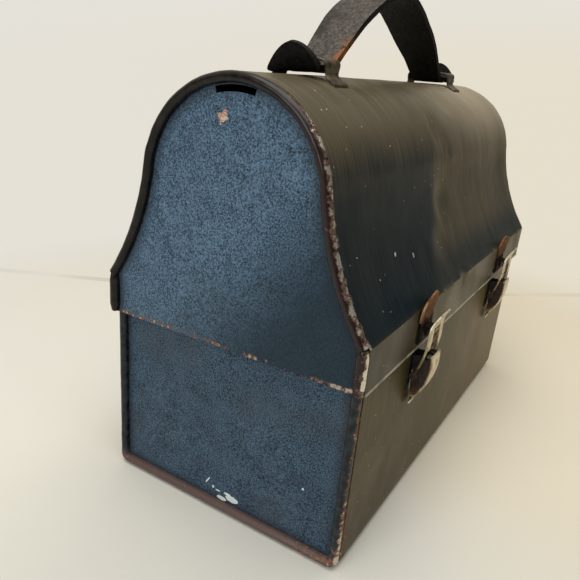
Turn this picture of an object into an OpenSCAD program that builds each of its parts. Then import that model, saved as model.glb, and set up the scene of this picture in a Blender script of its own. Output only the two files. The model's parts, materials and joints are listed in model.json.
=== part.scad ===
// Metal lunch box: dome lid on a rear hinge, two front latches, leather strap handle.
// X runs along the length, the latches face -Y, the hinges are at +Y, the base rests at Z = 0.

/* [Body] */
// Length over the rolled end rims of the body
body_length = 248; // [220:1:280]
// Depth of the body from front to back
body_depth = 120; // [110:1:130]
// Height of the open rim, hidden inside the lid skirt
rim_z = 93; // [90:1:94]
// Outer radius of the bottom corners
corner_r = 5; // [5:0.5:8]
// Thickness of the pressed steel sheet
sheet = 0.5; // [0.4:0.1:0.6]

/* [Rolled end rims] */
// Width of the rolled rim, across the end panel
bead_w = 4.5; // [4:0.1:4.8]
// Height of the rolled rim above the end panel
bead_h = 3.5; // [3:0.1:4]

/* [Lid] */
// Height of the lid skirt's lower edge
skirt_z = 81.7; // [81.5:0.1:83]
// How far the skirt stands out from the body wall
skirt_step = 1.8; // [1.7:0.1:2.2]
// Radius of the dome
dome_r = 41.6; // [40:0.1:43]
// Height of the dome's centre line
dome_z = 144.1; // [142:0.1:148]
// Radius of the hollow flare between dome and skirt
flare_r = 114; // [110:1:118]
// Angle from upright at which the dome meets the flare
join_angle = 81.3; // [80:0.1:82]
// Gap between the lid's end panels and the body's rims
end_gap = 0.4; // [0.3:0.1:0.8]
// Length of the vent slot under the rim of each end panel
vent_length = 17.5; // [12:0.5:22]
// Height of the vent slot
vent_height = 2.4; // [1.5:0.1:3]

/* [Rear hinges] */
// Distance of each hinge from the middle
hinge_x = 75; // [60:1:95]
// Distance of the hinge pin behind the body wall
hinge_out = 2.6; // [2.6:0.1:2.8]
// Height of the hinge pin
hinge_z = 79.5; // [79:0.1:79.6]
// Outer radius of the rolled knuckles
knuckle_r = 1.9; // [1.8:0.05:1.9]
// Length of one hinge
hinge_length = 27; // [24:1:36]

/* [Latches] */
// Distance of each latch from the middle
latch_x = 66; // [50:1:85]
// Width of the lever over its side walls
lever_w = 13.8; // [13:0.2:14]
// Width of the catch plate on the lid
catch_w = 18.6; // [16:0.2:20]
// Thickness of the stamped latch sheet
latch_sheet = 0.9; // [0.8:0.05:1]

/* [Handle] */
// Distance of each strap loop from the middle
loop_x = 77; // [75:0.5:78]
// Length of a loop's bridge along the box
loop_length = 13.6; // [12:0.2:14]
// Width of the strap between the loops' legs
strap_w = 16.5; // [14:0.5:17]
// Width of the strap at the grip and at its stopped ends
grip_w = 23; // [20:0.5:24]
// Thickness of the leather
strap_t = 2.8; // [2.4:0.1:2.8]

/* [Bottle bail] */
// Half width of the wire bail
bail_half = 28; // [20:1:40]
// Diameter of the bail wire
bail_d = 2.4; // [2:0.1:2.4]

/* [Hidden] */
$fn = 64;

wall_y = body_depth / 2;
skirt_y = wall_y + skirt_step;
body_end_x = body_length / 2 - bead_h;
lid_end_x = body_length / 2 + end_gap;
flare_c = (dome_r + flare_r) * [sin(join_angle), cos(join_angle)] + [0, dome_z];
lid_top = dome_z + dome_r;
cut = 1;

pin_r = 1;
pin_fit = 0.05;
hole_r = pin_r + pin_fit;
rivet_r = 1.2;
rivet_head_r = 2;
rivet_head_h = 0.9;

hinge_y = wall_y + hinge_out;
leaf_t = 0.8;
leaf_h = 15;
knuckle_gap = 0.3;
knuckle_l = (hinge_length - 2 * knuckle_gap) / 3;
skirt_clear = 2.4;
// The flared rim stops this angle short of the kink, which eases its outer corner
kink_ease = 0.3;

// Latch points are [distance out from the body's front wall, height]
lever_pivot = [5.8, 76.3];
link_pivot = [3.2, 70.5];
lever_front = [[8.3, 80], [8.9, 77], [8.8, 73], [8, 68.5], [6.4, 63.8], [4, 59.4], [1.7, 56], [0.8, 54]];
lever_back = [[1.4, 60], [1.5, 66], [1.4, 72], [3.4, 74.6], [3.8, 80]];
link_path = [[3.2, 70.5], [5.2, 76], [6.4, 81], [6.9, 86], [7, 92.5], [8.2, 96], [10, 99]];
catch_path = [[2.25, 84.5], [2.25, 96], [3.1, 99.5], [4.3, 103], [5.3, 106.5]];
nose_path = [[2.3, 91.4], [4.6, 91.4], [5.4, 90.4], [5.5, 88.4]];
base_z = [62.5, 80.5];
base_t = 0.8;
ear_x = 3.5;
link_leg = 1.4;
link_side = lever_w / 2 + 0.4;
link_w = 2 * (link_side + link_leg);
lever_wall = 0.7;
eye_r = 1.9;

// Loop points are [from the middle, height], strap points [along the box, height]
loop_t = 0.9;
loop_path = [[0, 191.7], [10.4, 191.7], [11.6, 191], [12, 189.6], [11.8, 186.4], [12.8, 184.9],
             [15.1, 183.5], [16.4, 182.6], [16.5, 181.1], [15.7, 181], [11, 183]];
slot_y = 16.5;
strap_path = [[-90.5, 197.5], [-88.8, 191.6], [-85.2, 188.5], [-77, 188.3], [-69.5, 188.8],
              [-58, 198.2], [-44, 209.6], [-26, 218.6], [-6, 223], [12, 220], [33, 210.6],
              [54, 199.2], [69.5, 188.8], [77, 188.3], [85.2, 188.5], [88.8, 191.6], [90.5, 197.5]];

bail_pivot = [51, 105.5];
bail_front = -49;
bail_bend = 8;
bail_r = bail_d / 2;

// ---- shared geometry ----

// A 2D shape drawn in [Y, Z] becomes a solid centred along X
module along_x(length) rotate([90, 0, 90]) linear_extrude(length, center = true) children();

// Local X, Y, Z become the end panel's Y, Z and the box's X
module on_end() rotate([90, 0, 90]) children();

// Point on the front wall: out from the wall and up
function front(p) = [-(wall_y + p[0]), p[1]];
function fronts(path) = [for (p = path) front(p)];

function arc(c, r, a, b, n) = [for (i = [0:n]) c + r * [cos(a + (b - a) * i / n), sin(a + (b - a) * i / n)]];

// Unit vector to the left of the step from a to b
function left_of(a, b) = let (d = (b - a) / norm(b - a)) [-d[1], d[0]];

// Point i of a path moved t to its left, mitred at the bends
function beside(p, i, t) =
    let (last = len(p) - 1,
         a = i > 0 ? left_of(p[i - 1], p[i]) : left_of(p[0], p[1]),
         b = i < last ? left_of(p[i], p[i + 1]) : a,
         m = (a + b) / norm(a + b))
    p[i] + m * t / (m * a);

// A path given the thickness of its sheet
module ribbon(p, t) polygon(concat([for (i = [0:len(p) - 1]) beside(p, i, t / 2)],
                                   [for (i = [len(p) - 1:-1:0]) beside(p, i, -t / 2)]));

// Smooth curve through the points of a path, with n steps between neighbours
function curve_point(a, b, c, d, u) =
    0.5 * (2 * b + (c - a) * u + (2 * a - 5 * b + 4 * c - d) * u * u + (3 * b - a - 3 * c + d) * u * u * u);
function smooth(p, n) =
    let (last = len(p) - 1)
    [for (i = [0:last - 1], k = [0:n - 1])
         curve_point(p[max(i - 1, 0)], p[i], p[i + 1], p[min(i + 2, last)], k / n), p[last]];

// Right half of the lid's end outline, moved inwards by inset, from the skirt to the crown
function kink_angle(inset) = asin((flare_c[0] - skirt_y + inset) / (flare_r + inset));
function lid_half(inset, low) = concat(
    [[skirt_y - inset, low]],
    arc(flare_c, flare_r + inset, 270 - kink_angle(inset), 270 - join_angle, 16),
    arc([0, dome_z], dome_r - inset, 90 - join_angle, 90, 30));
module lid_outline(inset, low) {
    half = lid_half(inset, low);
    polygon(concat(half, [for (i = [len(half) - 2:-1:0]) [-half[i][0], half[i][1]]]));
}

// End outline of the body, moved inwards by inset, open upwards to high
module body_outline(inset, high) {
    y = wall_y - inset;
    r = corner_r - inset;
    c = wall_y - corner_r;
    polygon(concat([[y, high]], arc([c, corner_r], r, 0, -90, 8), arc([-c, corner_r], r, -90, -180, 8),
                   [[-y, high]]));
}

// Section of a rolled rim: its outer edge at x = 0, its crown at y = bead_h
module bead_section() {
    translate([-bead_w, 0]) square([bead_w, bead_h - bead_w / 2]);
    intersection() {
        translate([-bead_w / 2, bead_h - bead_w / 2]) circle(bead_w / 2);
        translate([-bead_w, 0]) square([bead_w, bead_h]);
    }
}
module bead_bar(length) translate([0, length, 0]) rotate([90, 0, 0]) linear_extrude(length) bead_section();

// Domed rivet with its shank and clenched tail, head towards +Z, seated at z = 0
module rivet(grip) {
    intersection() {
        translate([0, 0, rivet_head_h - 2.6]) sphere(2.6);
        cylinder(r = rivet_head_r, h = rivet_head_h);
    }
    translate([0, 0, -grip]) cylinder(r = rivet_r, h = grip + 0.1);
    translate([0, 0, -grip - 0.4]) cylinder(r = rivet_head_r - 0.2, h = 0.4);
}
// Turns +Z to face the front or the back
module facing_front() rotate([90, 0, 0]) children();
module facing_back() rotate([-90, 0, 0]) children();

function sides() = [-1, 1];
latch_rivet_x = 3.8;
base_rivet_z = 66;
catch_rivet_z = 87;
hinge_rivet_x = 8.5;
body_rivet_z = 69;
lid_rivet_z = 91;

// ---- body ----

module body_wrap() color([0.16, 0.16, 0.15])
    difference() {
        along_x(2 * body_end_x) difference() {
            body_outline(0, rim_z);
            body_outline(sheet, rim_z + cut);
        }
        for (s = sides(), t = sides()) {
            translate([s * latch_x + t * latch_rivet_x, -wall_y - cut, base_rivet_z])
                facing_back() cylinder(r = rivet_r, h = 3);
            translate([s * hinge_x + t * hinge_rivet_x, wall_y + cut, body_rivet_z])
                facing_front() cylinder(r = rivet_r, h = 3);
        }
    }

module body_end(side) color([0.13, 0.17, 0.21])
    mirror([side < 0 ? 1 : 0, 0, 0]) translate([body_end_x, 0, 0]) on_end() {
        linear_extrude(sheet) body_outline(bead_w / 2, rim_z);
        translate([corner_r - wall_y, 0, 0]) rotate([0, 0, -90]) bead_bar(2 * (wall_y - corner_r));
        for (s = sides()) mirror([s < 0 ? 1 : 0, 0, 0]) {
            translate([wall_y, corner_r, 0]) bead_bar(rim_z - corner_r);
            translate([wall_y - corner_r, corner_r, 0]) rotate([0, 0, -90])
                rotate_extrude(angle = 90) translate([corner_r, 0]) bead_section();
        }
    }
module body_end_left() body_end(-1);
module body_end_right() body_end(1);

// ---- lid ----

module lid_wrap() color([0.17, 0.17, 0.15])
    difference() {
        along_x(2 * lid_end_x) difference() {
            lid_outline(0, skirt_z);
            lid_outline(sheet, skirt_z - cut);
        }
        for (s = sides(), t = sides()) {
            translate([s * loop_x, t * slot_y, lid_top - 3]) cube([12, 1.6, 8], center = true);
            translate([s * latch_x + t * latch_rivet_x, -skirt_y - cut, catch_rivet_z])
                facing_back() cylinder(r = rivet_r, h = 3);
            translate([s * hinge_x + t * hinge_rivet_x, skirt_y + cut, lid_rivet_z])
                facing_front() cylinder(r = rivet_r, h = 3);
        }
    }

module lid_end(side) color([0.13, 0.17, 0.21])
    mirror([side < 0 ? 1 : 0, 0, 0]) translate([lid_end_x, 0, 0]) on_end() {
        half_vent = asin(vent_length / 2 / (dome_r - bead_w));
        linear_extrude(sheet) difference() {
            lid_outline(bead_w / 2, skirt_z);
            polygon(concat(arc([0, dome_z], dome_r - bead_w - vent_height, 90 - half_vent, 90 + half_vent, 12),
                           arc([0, dome_z], dome_r - bead_w + 0.5, 90 + half_vent, 90 - half_vent, 12)));
        }
        translate([0, dome_z, 0]) rotate([0, 0, 90 - join_angle])
            rotate_extrude(angle = 2 * join_angle) translate([dome_r, 0]) bead_section();
        for (s = sides()) mirror([s < 0 ? 1 : 0, 0, 0]) {
            translate(flare_c) rotate([0, 0, 270 - join_angle])
                rotate_extrude(angle = join_angle - kink_angle(0) - kink_ease)
                    translate([flare_r, 0]) mirror([1, 0]) bead_section();
            translate([skirt_y, skirt_z, 0]) bead_bar(flare_c[1] - flare_r * cos(kink_angle(0)) - skirt_z);
        }
    }
module lid_end_left() lid_end(-1);
module lid_end_right() lid_end(1);

// ---- handle ----

module handle_loop(side) color([0.42, 0.36, 0.27])
    translate([side * loop_x, 0, 0]) intersection() {
        for (s = sides()) mirror([0, s < 0 ? 1 : 0, 0]) along_x(loop_length) ribbon(loop_path, loop_t);
        union() {
            translate([-loop_length / 2, -25, 188]) cube([loop_length, 50, 10]);
            translate([-5.5, -25, 175]) cube([11, 50, 14]);
        }
    }
module handle_loop_left() handle_loop(-1);
module handle_loop_right() handle_loop(1);

// Outline of the strap from above between its two stopped ends
module strap_plan() {
    neck = loop_x + loop_length / 2 + 1.2;
    side_edge = [[-neck, strap_w / 2], [-68, strap_w / 2], [-40, grip_w / 2 - 1], [0, grip_w / 2],
                 [40, grip_w / 2 - 1], [68, strap_w / 2], [neck, strap_w / 2]];
    edge = smooth(side_edge, 4);
    polygon(concat(edge, [for (i = [len(edge) - 1:-1:0]) [edge[i][0], -edge[i][1]]]));
}
module handle_strap() color([0.2, 0.16, 0.13]) {
    neck = loop_x + loop_length / 2 + 1.2;
    intersection() {
        rotate([90, 0, 0]) linear_extrude(grip_w + 2, center = true) ribbon(smooth(strap_path, 4), strap_t);
        union() {
            translate([0, 0, 180]) linear_extrude(60) strap_plan();
            for (s = sides()) translate([s * (neck + 5), 0, 0]) along_x(10) {
                translate([0, 187]) circle(grip_w / 2);
                translate([-grip_w / 2, 180]) square([grip_w, 7]);
            }
        }
    }
}

// ---- latches ----

module catch_plate(side) color([0.4, 0.24, 0.13])
    translate([side * latch_x, 0, 0]) difference() {
        union() {
            intersection() {
                along_x(catch_w) ribbon(fronts(catch_path), latch_sheet);
                facing_front() linear_extrude(200, center = true) {
                    translate([-6.5, 84]) square([13, 14]);
                    translate([-catch_w / 2, 95.5]) square([catch_w, 5.5]);
                    translate([5 - catch_w / 2, 96]) square([catch_w - 10, 11]);
                    for (s = sides()) translate([s * (catch_w / 2 - 5), 101]) circle(5);
                }
            }
            along_x(6.4) ribbon(fronts(nose_path), latch_sheet);
        }
        for (t = sides()) translate([t * latch_rivet_x, -skirt_y + cut, catch_rivet_z])
            facing_front() cylinder(r = rivet_r, h = 3);
    }
module catch_left() catch_plate(-1);
module catch_right() catch_plate(1);

module catch_rivets() color([0.36, 0.22, 0.13])
    for (s = sides(), t = sides())
        translate([s * latch_x + t * latch_rivet_x, -skirt_y - latch_sheet, catch_rivet_z])
            facing_front() rivet(latch_sheet + sheet);

module latch_base(side) color([0.1, 0.1, 0.1])
    translate([side * latch_x, 0, 0]) difference() {
        union() {
            translate([-7, -wall_y - base_t, base_z[0]]) cube([14, base_t, base_z[1] - base_z[0]]);
            for (s = sides()) translate([s * ear_x, 0, 0]) along_x(1) {
                polygon(fronts([[0.4, 70.5], lever_pivot - [0, 2.1], lever_pivot + [0, 2.1], [0.4, 78]]));
                translate(front(lever_pivot)) circle(2.1);
            }
        }
        translate([0, front(lever_pivot)[0], lever_pivot[1]]) along_x(20) circle(hole_r);
        for (t = sides()) translate([t * latch_rivet_x, -wall_y + cut, base_rivet_z])
            facing_front() cylinder(r = rivet_r, h = 3);
    }
module latch_base_left() latch_base(-1);
module latch_base_right() latch_base(1);

module latch_base_rivets() color([0.1, 0.1, 0.1])
    for (s = sides(), t = sides())
        translate([s * latch_x + t * latch_rivet_x, -wall_y - base_t, base_rivet_z])
            facing_front() rivet(base_t + sheet);

// Stamped trough: a bowed front with two side walls and a rounded finger tip
module latch_lever(side) color([0.72, 0.66, 0.52])
    translate([side * latch_x, 0, 0]) difference() {
        union() {
            intersection() {
                along_x(lever_w) ribbon(fronts(smooth(lever_front, 3)), lever_wall);
                facing_front() linear_extrude(200, center = true) {
                    translate([-lever_w / 2, 66]) square([lever_w, 20]);
                    polygon([[-lever_w / 2, 66.1], [-5, 58], [5, 58], [lever_w / 2, 66.1]]);
                    translate([0, 58.2]) circle(5);
                }
            }
            for (s = sides()) translate([s * (lever_w - lever_wall) / 2, 0, 0]) along_x(lever_wall)
                polygon(fronts(concat([for (p = smooth(lever_front, 3)) if (p[1] >= 66) p], lever_back)));
        }
        for (p = [lever_pivot, link_pivot])
            translate([0, front(p)[0], p[1]]) along_x(20) circle(hole_r);
    }
module latch_lever_left() latch_lever(-1);
module latch_lever_right() latch_lever(1);

// Two legs outside the lever's walls, a plate with two windows, a flared top
module latch_link(side) color([0.75, 0.7, 0.58])
    translate([side * latch_x, 0, 0]) difference() {
        union() {
            intersection() {
                along_x(link_w) ribbon(fronts(smooth(link_path, 3)), latch_sheet);
                facing_front() linear_extrude(200, center = true) difference() {
                    polygon([[-link_w / 2, 70.5], [link_w / 2, 70.5], [link_w / 2, 93], [5.8, 97.5], [5.2, 99.5],
                             [-5.2, 99.5], [-5.8, 97.5], [-link_w / 2, 93]]);
                    translate([-link_side, 60]) square([2 * link_side, 22.4]);
                    translate([-4.4, 83.8]) square([8.8, 3.1]);
                    translate([-4.4, 88.4]) square([8.8, 3.9]);
                }
            }
            for (s = sides()) translate([s * (link_side + link_leg / 2), front(link_pivot)[0], link_pivot[1]])
                along_x(link_leg) circle(eye_r);
        }
        translate([0, front(link_pivot)[0], link_pivot[1]]) along_x(30) circle(hole_r);
    }
module latch_link_left() latch_link(-1);
module latch_link_right() latch_link(1);

module lever_pin(side) color([0.35, 0.33, 0.3])
    translate([side * latch_x, front(lever_pivot)[0], lever_pivot[1]]) along_x(lever_w) circle(pin_r);
module lever_pin_left() lever_pin(-1);
module lever_pin_right() lever_pin(1);

module link_pin(side) color([0.35, 0.33, 0.3])
    translate([side * latch_x, front(link_pivot)[0], link_pivot[1]]) {
        along_x(link_w + 0.4) circle(pin_r);
        for (s = sides()) translate([s * (link_w / 2 + 0.4), 0, 0]) along_x(0.6) circle(1.5);
    }
module link_pin_left() link_pin(-1);
module link_pin_right() link_pin(1);

// ---- rear hinges ----

module knuckle(x, length) translate([x, hinge_y, hinge_z]) along_x(length) circle(knuckle_r);
module hinge_bore() translate([0, hinge_y, hinge_z]) along_x(hinge_length + 10) circle(hole_r);

module hinge_body_leaf(side) color([0.13, 0.13, 0.13])
    translate([side * hinge_x, 0, 0]) difference() {
        union() {
            difference() {
                translate([-hinge_length / 2, wall_y, hinge_z - leaf_h - 2])
                    cube([hinge_length, leaf_t, leaf_h + 2]);
                translate([-knuckle_l / 2 - knuckle_gap, wall_y - cut, hinge_z - skirt_clear])
                    cube([knuckle_l + 2 * knuckle_gap, 10, 10]);
            }
            for (s = sides()) knuckle(s * (knuckle_l + knuckle_gap), knuckle_l);
        }
        hinge_bore();
        for (t = sides()) translate([t * hinge_rivet_x, wall_y - cut, body_rivet_z])
            facing_back() cylinder(r = rivet_r, h = 3);
    }
module hinge_body_leaf_left() hinge_body_leaf(-1);
module hinge_body_leaf_right() hinge_body_leaf(1);

module hinge_lid_leaf(side) color([0.13, 0.13, 0.13])
    translate([side * hinge_x, 0, 0]) difference() {
        union() {
            translate([-hinge_length / 2, skirt_y, hinge_z + skirt_clear])
                cube([hinge_length, leaf_t, leaf_h]);
            translate([-knuckle_l / 2, skirt_y, hinge_z]) cube([knuckle_l, leaf_t, skirt_clear + cut]);
            knuckle(0, knuckle_l);
        }
        hinge_bore();
        for (t = sides()) translate([t * hinge_rivet_x, skirt_y - cut, lid_rivet_z])
            facing_back() cylinder(r = rivet_r, h = 3);
    }
module hinge_lid_leaf_left() hinge_lid_leaf(-1);
module hinge_lid_leaf_right() hinge_lid_leaf(1);

module hinge_pin(side) color([0.35, 0.33, 0.3])
    translate([side * hinge_x, hinge_y, hinge_z]) along_x(hinge_length + 1) circle(pin_r);
module hinge_pin_left() hinge_pin(-1);
module hinge_pin_right() hinge_pin(1);

module hinge_rivets_body() color([0.13, 0.13, 0.13])
    for (s = sides(), t = sides())
        translate([s * hinge_x + t * hinge_rivet_x, wall_y + leaf_t, body_rivet_z])
            facing_back() rivet(leaf_t + sheet);
module hinge_rivets_lid() color([0.13, 0.13, 0.13])
    for (s = sides(), t = sides())
        translate([s * hinge_x + t * hinge_rivet_x, skirt_y + leaf_t, lid_rivet_z])
            facing_back() rivet(leaf_t + sheet);

// ---- bottle bail inside the dome ----

lug_x = bail_half + 4.4;
lug_t = 1.2;
// Inner face of the lid's flare at a height
function flare_y(z) = flare_c[0] - sqrt(pow(flare_r + sheet, 2) - pow(flare_c[1] - z, 2));

module bail_rod(length) rotate([0, 90, 0]) cylinder(r = bail_r, h = length, center = true);
module bottle_bail() color([0.6, 0.6, 0.58]) translate([0, 0, bail_pivot[1]]) {
    translate([0, bail_front, 0]) bail_rod(2 * (bail_half - bail_bend));
    for (s = sides()) mirror([s < 0 ? 1 : 0, 0, 0]) {
        translate([bail_half - bail_bend, bail_front + bail_bend, 0]) rotate([0, 0, -90])
            rotate_extrude(angle = 90) translate([bail_bend, 0]) circle(bail_r);
        translate([bail_half, bail_front + bail_bend, 0]) rotate([-90, 0, 0])
            cylinder(r = bail_r, h = bail_pivot[0] - 3 - bail_front - bail_bend);
        translate([bail_half + 3, bail_pivot[0] - 3, 0]) rotate([0, 0, 90])
            rotate_extrude(angle = 90) translate([3, 0]) circle(bail_r);
        translate([bail_half + 5, bail_pivot[0], 0]) bail_rod(4);
    }
}

module bail_lug(side) color([0.45, 0.45, 0.43])
    translate([side * lug_x, 0, 0]) difference() {
        union() {
            along_x(lug_t) polygon(concat([for (z = [102:2:114]) [flare_y(z), z]],
                                          [[bail_pivot[0] - 1.5, 108.5], [bail_pivot[0] - 2.4, 105],
                                           [bail_pivot[0] - 1, 102.8]]));
            along_x(8) polygon(concat([for (z = [102:2:114]) [flare_y(z), z]],
                                      [for (z = [114:-2:102]) [flare_y(z) - 0.8, z]]));
        }
        translate([0, bail_pivot[0], bail_pivot[1]]) along_x(20) circle(bail_r + pin_fit);
    }
module bail_lug_left() bail_lug(-1);
module bail_lug_right() bail_lug(1);

// Spring clip, open downwards, that grips the bail's cross wire
clip_path = [[-1.75, 103], [-1.75, 107.6], [1.75, 107.6], [1.75, 103], [2.6, 101.8]];
module bail_clip() color([0.45, 0.45, 0.43]) union() {
    translate([0, bail_front, 0]) along_x(10) ribbon(clip_path, 0.8);
    along_x(9) polygon([[bail_front - 1.6, 107.25], [bail_front - 1.6, 107.95],
                        [-flare_y(110), 110], [-flare_y(108.6), 108.6]]);
}

body_wrap();
body_end_left();
body_end_right();
lid_wrap();
lid_end_left();
lid_end_right();
handle_loop_left();
handle_loop_right();
handle_strap();
catch_left();
catch_right();
catch_rivets();
latch_base_left();
latch_base_right();
latch_base_rivets();
latch_lever_left();
latch_lever_right();
latch_link_left();
latch_link_right();
lever_pin_left();
lever_pin_right();
link_pin_left();
link_pin_right();
hinge_body_leaf_left();
hinge_body_leaf_right();
hinge_lid_leaf_left();
hinge_lid_leaf_right();
hinge_pin_left();
hinge_pin_right();
hinge_rivets_body();
hinge_rivets_lid();
bottle_bail();
bail_lug_left();
bail_lug_right();
bail_clip();
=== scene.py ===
import json
import math
import bmesh
import bpy
from mathutils import Matrix, Vector

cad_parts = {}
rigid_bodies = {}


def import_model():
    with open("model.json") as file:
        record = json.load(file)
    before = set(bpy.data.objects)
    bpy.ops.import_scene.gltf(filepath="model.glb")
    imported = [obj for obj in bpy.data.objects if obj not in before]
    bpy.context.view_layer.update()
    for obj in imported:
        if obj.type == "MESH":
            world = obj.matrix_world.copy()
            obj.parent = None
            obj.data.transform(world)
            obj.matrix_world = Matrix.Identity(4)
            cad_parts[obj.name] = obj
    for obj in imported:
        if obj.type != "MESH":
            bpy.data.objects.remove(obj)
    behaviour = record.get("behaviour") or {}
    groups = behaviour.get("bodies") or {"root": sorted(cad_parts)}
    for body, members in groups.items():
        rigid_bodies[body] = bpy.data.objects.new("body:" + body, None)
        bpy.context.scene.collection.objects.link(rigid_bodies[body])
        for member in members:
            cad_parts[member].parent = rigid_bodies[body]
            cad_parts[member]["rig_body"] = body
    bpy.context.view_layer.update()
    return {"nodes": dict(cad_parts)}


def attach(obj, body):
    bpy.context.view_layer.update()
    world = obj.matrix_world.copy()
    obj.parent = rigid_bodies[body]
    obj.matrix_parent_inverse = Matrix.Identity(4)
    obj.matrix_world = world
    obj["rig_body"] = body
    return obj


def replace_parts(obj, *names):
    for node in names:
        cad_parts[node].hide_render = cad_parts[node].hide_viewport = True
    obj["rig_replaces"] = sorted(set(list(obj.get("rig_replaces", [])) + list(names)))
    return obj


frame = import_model()

# ---- camera ----
# The eye is low, near the left end, turned towards the front left corner.
# Lens and shift are those of a normal lens, slightly cropped.

lens = bpy.data.cameras.new("camera")
lens.lens = 37.07
lens.sensor_width = 36
lens.shift_x = 0.0709
lens.shift_y = 0.0248
lens.clip_start = 0.01
eye = bpy.data.objects.new("camera", lens)
bpy.context.scene.collection.objects.link(eye)
eye.matrix_world = Matrix(((0.56221, 0.26675, -0.78280, -0.3019),
                           (-0.82469, 0.25156, -0.50657, -0.1260),
                           (0.06179, 0.93036, 0.36141, 0.1852),
                           (0, 0, 0, 1)))
bpy.context.scene.camera = eye
bpy.context.scene.view_settings.view_transform = "Standard"


# ---- studio: lights, sky and table ----
# A pale table under soft light from above and from the left. The room in front
# of the box is dim, which the glossy enamel shows, and behind it is pale.

def put(tree, kind, **values):
    """Adds a shader node. A lower-case word sets a property of the node, any
    other word sets or links the input of that name, or of that number."""
    made = tree.nodes.new("ShaderNode" + kind)
    for word, value in values.items():
        if word[0].islower():
            setattr(made, word, value)
            continue
        numbered = word.startswith("In") and word[2:].isdigit()
        socket = made.inputs[int(word[2:]) if numbered else word.replace("_", " ")]
        if isinstance(value, bpy.types.NodeSocket):
            tree.links.new(value, socket)
        elif hasattr(value, "__len__") and socket.type == "RGBA":
            socket.default_value = (*value, 1)[:4]
        else:
            socket.default_value = value
    return made


def blend(tree, factor, first, second):
    """The colour between two colours."""
    return put(tree, "Mix", data_type="RGBA", In0=factor, In6=first, In7=second).outputs[2]


def maths(tree, what, first, second=0.0):
    """One sum on one or two numbers."""
    return put(tree, "Math", operation=what, In0=first, In1=second).outputs[0]


def plus(tree, *numbers):
    """The sum of some numbers."""
    total = numbers[0]
    for number in numbers[1:]:
        total = maths(tree, "ADD", total, number)
    return total


def minus(tree, first, second):
    """One number less another."""
    return maths(tree, "SUBTRACT", first, second)


def times(tree, *numbers):
    """The product of some numbers."""
    product = numbers[0]
    for number in numbers[1:]:
        product = maths(tree, "MULTIPLY", product, number)
    return product


def size_of(tree, number):
    """A number without its sign."""
    return maths(tree, "ABSOLUTE", number)


def ramp(tree, value, low, high, start=0.0, end=1.0):
    """A number that goes smoothly from start to end while value goes from low to high."""
    return put(tree, "MapRange", interpolation_type="SMOOTHSTEP", Value=value, From_Min=low, From_Max=high,
               To_Min=start, To_Max=end).outputs[0]


def noise(tree, vector, scale, detail=3.0, roughness=0.55, distortion=0.0):
    """Cloudy noise from about 0.2 to 0.8."""
    return put(tree, "TexNoise", Vector=vector, Scale=scale, Detail=detail, Roughness=roughness,
               Distortion=distortion).outputs[0]


def finish_called(name):
    """A new material on object coordinates in millimetres: its tree, its shader and the coordinates."""
    made = bpy.data.materials.new(name)
    made.use_nodes = True
    tree = made.node_tree
    tree.nodes.clear()
    shader = put(tree, "BsdfPrincipled")
    tree.links.new(shader.outputs[0], put(tree, "OutputMaterial").inputs[0])
    place = put(tree, "TexCoord").outputs["Object"]
    return made, tree, shader, put(tree, "VectorMath", operation="SCALE", In0=place, Scale=1000.0).outputs[0]


def parts_of(tree, vector):
    """A vector's three numbers."""
    return put(tree, "SeparateXYZ", Vector=vector).outputs


def plug(tree, shader, **sources):
    """Links or sets inputs of the shader."""
    for word, value in sources.items():
        socket = shader.inputs[word.replace("_", " ")]
        if isinstance(value, bpy.types.NodeSocket):
            tree.links.new(value, socket)
        else:
            socket.default_value = value


def relief(tree, height, strength, distance):
    """A bump from a height, distance in millimetres."""
    return put(tree, "Bump", Strength=strength, Distance=distance / 1000, Height=height).outputs[0]


sky = bpy.data.worlds.new("sky")
bpy.context.scene.world = sky
sky.use_nodes = True
air = sky.node_tree
air.nodes.clear()
towards = parts_of(air, put(air, "TexCoord").outputs["Generated"])
overhead = ramp(air, towards[2], 0.30, 0.85)
behind = ramp(air, plus(air, times(air, towards[0], 0.4), times(air, towards[1], 0.9)), 0.0, 0.7)
dim = blend(air, overhead, (0.05, 0.07, 0.09), (0.80, 0.76, 0.66))
room = blend(air, times(air, behind, 0.8), dim, (0.80, 0.72, 0.55))
to_right = ramp(air, minus(air, towards[0], towards[1]), -0.3, 0.9)
wall = blend(air, to_right, (0.78, 0.75, 0.68), (0.79, 0.73, 0.60))
wall = blend(air, ramp(air, towards[2], -0.02, 0.2), wall, (0.785, 0.765, 0.725))
seen = put(air, "Background", Color=wall, Strength=1.0)
lit = put(air, "Background", Color=room, Strength=0.9)
both = put(air, "MixShader", In0=put(air, "LightPath").outputs["Is Camera Ray"])
air.links.new(lit.outputs[0], both.inputs[1])
air.links.new(seen.outputs[0], both.inputs[2])
air.links.new(both.outputs[0], put(air, "OutputWorld").inputs[0])


def lamp(name, place, aim, width, power, colour):
    """A square soft box that points at aim."""
    light = bpy.data.lights.new(name, "AREA")
    light.size = width
    light.energy = power
    light.color = colour
    box = bpy.data.objects.new(name, light)
    box.location = place
    box.rotation_euler = (Vector(aim) - Vector(place)).to_track_quat("-Z", "Y").to_euler()
    bpy.context.scene.collection.objects.link(box)


lamp("top_light", (-0.15, -0.10, 1.10), (0, 0, 0.1), 0.9, 7.5, (1.0, 0.97, 0.92))
lamp("left_light", (-1.10, 0.05, 0.55), (-0.1, 0, 0.1), 0.7, 5.0, (0.90, 0.96, 1.0))

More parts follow.
